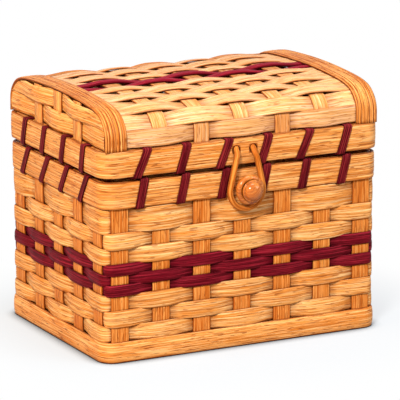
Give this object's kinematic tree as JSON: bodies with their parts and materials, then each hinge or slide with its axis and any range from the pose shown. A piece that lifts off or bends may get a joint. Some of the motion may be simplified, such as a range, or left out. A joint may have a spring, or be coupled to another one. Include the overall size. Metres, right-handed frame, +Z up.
{
  "type": "woven storage chest",
  "caption": "Plaited reed chest with a domed hinged lid, lashed rims, a dyed stripe, and a reed loop that hooks over a turned knob",
  "frame": {"origin": "on the table, under the middle of the chest's box, knob and hinge rings included", "axes": "+X to the chest's right as it faces the viewer, front towards -Y, +Z up"},
  "size_m": [0.1846, 0.158, 0.1512],
  "materials": {
    "natural_reed": "satin varnish",
    "burgundy_reed": "dyed, satin varnish",
    "rim_reed": "satin varnish",
    "turned_wood": "gloss varnish",
    "round_reed": "satin varnish",
    "screw_steel": "plain"
  },
  "bodies": {
    "basket": {"foot_band": "rim_reed", "base_fillers": "natural_reed", "cross_stake_1": "natural_reed", "cross_stake_2": "natural_reed", "cross_stake_3": "natural_reed", "cross_stake_4": "natural_reed", "cross_stake_5": "natural_reed", "cross_stake_6": "natural_reed", "cross_stake_7": "natural_reed", "long_stake_1": "natural_reed", "long_stake_2": "natural_reed", "long_stake_3": "natural_reed", "long_stake_4": "natural_reed", "long_stake_5": "natural_reed", "side_weaver_1": "natural_reed", "side_weaver_2": "natural_reed", "side_weaver_3": "natural_reed", "side_weaver_4": "burgundy_reed", "side_weaver_5": "burgundy_reed", "side_weaver_6": "burgundy_reed", "side_weaver_7": "natural_reed", "side_weaver_8": "natural_reed", "side_weaver_9": "natural_reed", "body_rim_outer": "rim_reed", "body_rim_inner": "rim_reed", "body_rim_lashing": "burgundy_reed", "knob": "turned_wood", "knob_screw": "screw_steel", "hinge_ring_left": "round_reed", "hinge_ring_right": "round_reed"},
    "lid": {"lid_rim_outer": "rim_reed", "lid_rim_inner": "rim_reed", "lid_rim_lashing": "burgundy_reed", "lid_stakes": "natural_reed", "lid_edge_stakes": "natural_reed", "lid_weaver_1": "natural_reed", "lid_weaver_2": "natural_reed", "lid_weaver_3": "natural_reed", "lid_weaver_4": "natural_reed", "lid_weaver_5": "natural_reed", "lid_weaver_6": "natural_reed", "lid_weaver_7": "natural_reed", "lid_weaver_8": "burgundy_reed", "lid_weaver_9": "burgundy_reed", "lid_weaver_10": "natural_reed", "lid_weaver_11": "natural_reed", "lid_weaver_12": "natural_reed", "lid_weaver_13": "natural_reed", "lid_weaver_14": "natural_reed", "lid_weaver_15": "natural_reed", "lid_weaver_16": "natural_reed", "gable_stakes_left": "natural_reed", "gable_stakes_right": "natural_reed", "gable_weavers_left": "natural_reed", "gable_weavers_right": "natural_reed", "edge_band_left": "rim_reed", "edge_band_right": "rim_reed"},
    "loop": {"clasp_loop": "round_reed"}
  },
  "joints": [
    {"name": "lid_hinge", "type": "hinge", "parent": "basket", "child": "lid", "pos_m": [0, 0.06918, 0.1089], "axis": [-1, 0, 0], "range_deg": [0, 105]},
    {"name": "loop_swing", "type": "hinge", "parent": "lid", "child": "loop", "pos_m": [0, -0.06448, 0.1191], "axis": [-1, 0, 0], "range_deg": [0, 85]}
  ]
}
